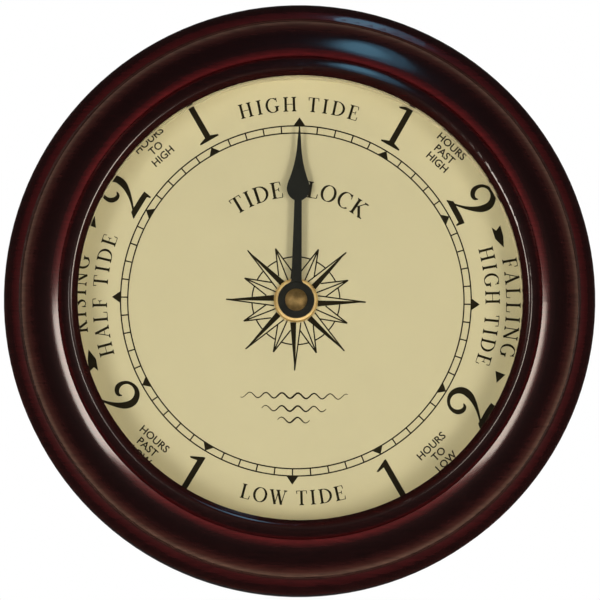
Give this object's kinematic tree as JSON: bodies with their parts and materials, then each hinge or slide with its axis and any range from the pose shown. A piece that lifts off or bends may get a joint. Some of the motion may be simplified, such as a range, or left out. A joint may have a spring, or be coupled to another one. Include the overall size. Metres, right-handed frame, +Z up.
{
  "type": "wall tide clock",
  "caption": "Round wall-hung tide clock: turned wooden porthole frame, glass, deep printed dial and one spade hand driven by a geared quartz tide movement.",
  "frame": {"origin": "centre of the round hole of the keyhole plate, in the plane of the wall", "axes": "+X to the right and +Z up as the clock is seen on the wall, +Y out of its back into the wall"},
  "size_m": [0.165, 0.0362, 0.165],
  "materials": {
    "dark_lacquer": "clear gloss lacquer over dark cherry stain",
    "clear_glass": "polished",
    "cream_print": "satin cream enamel with black print",
    "cream_ring": "matt cream",
    "black_enamel": "satin black enamel",
    "yellow_brass": "turned and lacquered",
    "stamped_brass": "stamped, lightly tarnished",
    "black_plastic": "fine spark-eroded grain",
    "white_plastic": "moulded, satin",
    "bright_steel": "turned, bright",
    "soft_rubber": "matt black",
    "dark_ferrite": "ground",
    "soft_iron": "stamped, annealed grey",
    "copper_wire": "enamelled copper",
    "board_laminate": "green solder mask",
    "black_resin": "cast drop",
    "plated_can": "drawn nickel-plated can",
    "nickel_strip": "nickel-plated spring strip",
    "cell_jacket": "printed shrink sleeve"
  },
  "bodies": {
    "clock_body": {"wood_frame": "dark_lacquer", "glass_lens": "clear_glass", "spacer_ring": "cream_ring", "dial_plate": "cream_print", "retainer_clips": "nickel_strip", "clip_screws": "bright_steel", "hanger_plate": "stamped_brass", "hanger_screws": "stamped_brass", "rubber_washer": "soft_rubber", "threaded_bushing": "yellow_brass", "nut_washer": "yellow_brass", "mounting_nut": "yellow_brass", "front_case": "black_plastic", "rear_cover": "black_plastic", "middle_plate": "white_plastic", "stator": "soft_iron", "coil_core": "soft_iron", "coil_bobbin": "white_plastic", "coil_winding": "copper_wire", "circuit_board": "board_laminate", "circuit_chip": "black_resin", "quartz_crystal": "plated_can", "positive_contact": "nickel_strip", "negative_contact": "nickel_strip"},
    "hand_body": {"tide_hand": "black_enamel", "hand_collet": "yellow_brass", "hand_cap": "yellow_brass", "hour_wheel": "white_plastic"},
    "motion_body": {"motion_wheel": "white_plastic"},
    "cannon_body": {"cannon_pinion": "white_plastic"},
    "setting_body": {"setting_arbor": "white_plastic", "setting_knob": "black_plastic"},
    "centre_body": {"centre_wheel": "white_plastic"},
    "third_body": {"third_wheel": "white_plastic"},
    "seconds_body": {"seconds_wheel": "white_plastic"},
    "intermediate_body": {"intermediate_wheel": "white_plastic"},
    "rotor_body": {"rotor_pinion": "white_plastic", "rotor_magnet": "dark_ferrite"},
    "battery_body": {"battery": "cell_jacket"}
  },
  "joints": [
    {"name": "tide_hand_turn", "type": "hinge", "parent": "clock_body", "child": "hand_body", "pos_m": [-0.001, -0.02, -0.0712], "axis": [0, 1, 0], "continuous": true},
    {"name": "motion_turn", "type": "hinge", "parent": "clock_body", "child": "motion_body", "pos_m": [-0.01013, -0.0135, -0.06207], "axis": [0, 1, 0], "continuous": true},
    {"name": "cannon_turn", "type": "hinge", "parent": "clock_body", "child": "cannon_body", "pos_m": [-0.001, -0.0135, -0.0712], "axis": [0, 1, 0], "continuous": true},
    {"name": "setting_turn", "type": "hinge", "parent": "clock_body", "child": "setting_body", "pos_m": [-0.01013, -0.008, -0.04917], "axis": [0, 1, 0], "continuous": true},
    {"name": "seconds_turn", "type": "hinge", "parent": "clock_body", "child": "seconds_body", "pos_m": [-0.001, -0.0067, -0.0712], "axis": [0, 1, 0], "continuous": true},
    {"name": "intermediate_turn", "type": "hinge", "parent": "clock_body", "child": "intermediate_body", "pos_m": [-0.00225, -0.0052, -0.06411], "axis": [0, 1, 0], "continuous": true},
    {"name": "rotor_turn", "type": "hinge", "parent": "clock_body", "child": "rotor_body", "pos_m": [-0.00347, -0.006, -0.05722], "axis": [0, 1, 0], "continuous": true},
    {"name": "third_turn", "type": "hinge", "parent": "clock_body", "child": "third_body", "pos_m": [0.00991, -0.0082, -0.06765], "axis": [0, 1, 0], "continuous": true},
    {"name": "centre_turn", "type": "hinge", "parent": "clock_body", "child": "centre_body", "pos_m": [-0.001, -0.0115, -0.0712], "axis": [0, 1, 0], "continuous": true},
    {"name": "battery_out", "type": "slide", "parent": "clock_body", "child": "battery_body", "axis": [0, 1, 0], "range_m": [0, 0.016]}
  ],
  "couplings": [
    {"joint": "motion_turn", "follows": "tide_hand_turn", "ratio": -3.6},
    {"joint": "cannon_turn", "follows": "tide_hand_turn", "ratio": 12.42},
    {"joint": "setting_turn", "follows": "tide_hand_turn", "ratio": 12.42},
    {"joint": "intermediate_turn", "follows": "seconds_turn", "ratio": -5},
    {"joint": "rotor_turn", "follows": "seconds_turn", "ratio": 30},
    {"joint": "third_turn", "follows": "seconds_turn", "ratio": -0.13333},
    {"joint": "centre_turn", "follows": "seconds_turn", "ratio": 0.016667}
  ]
}
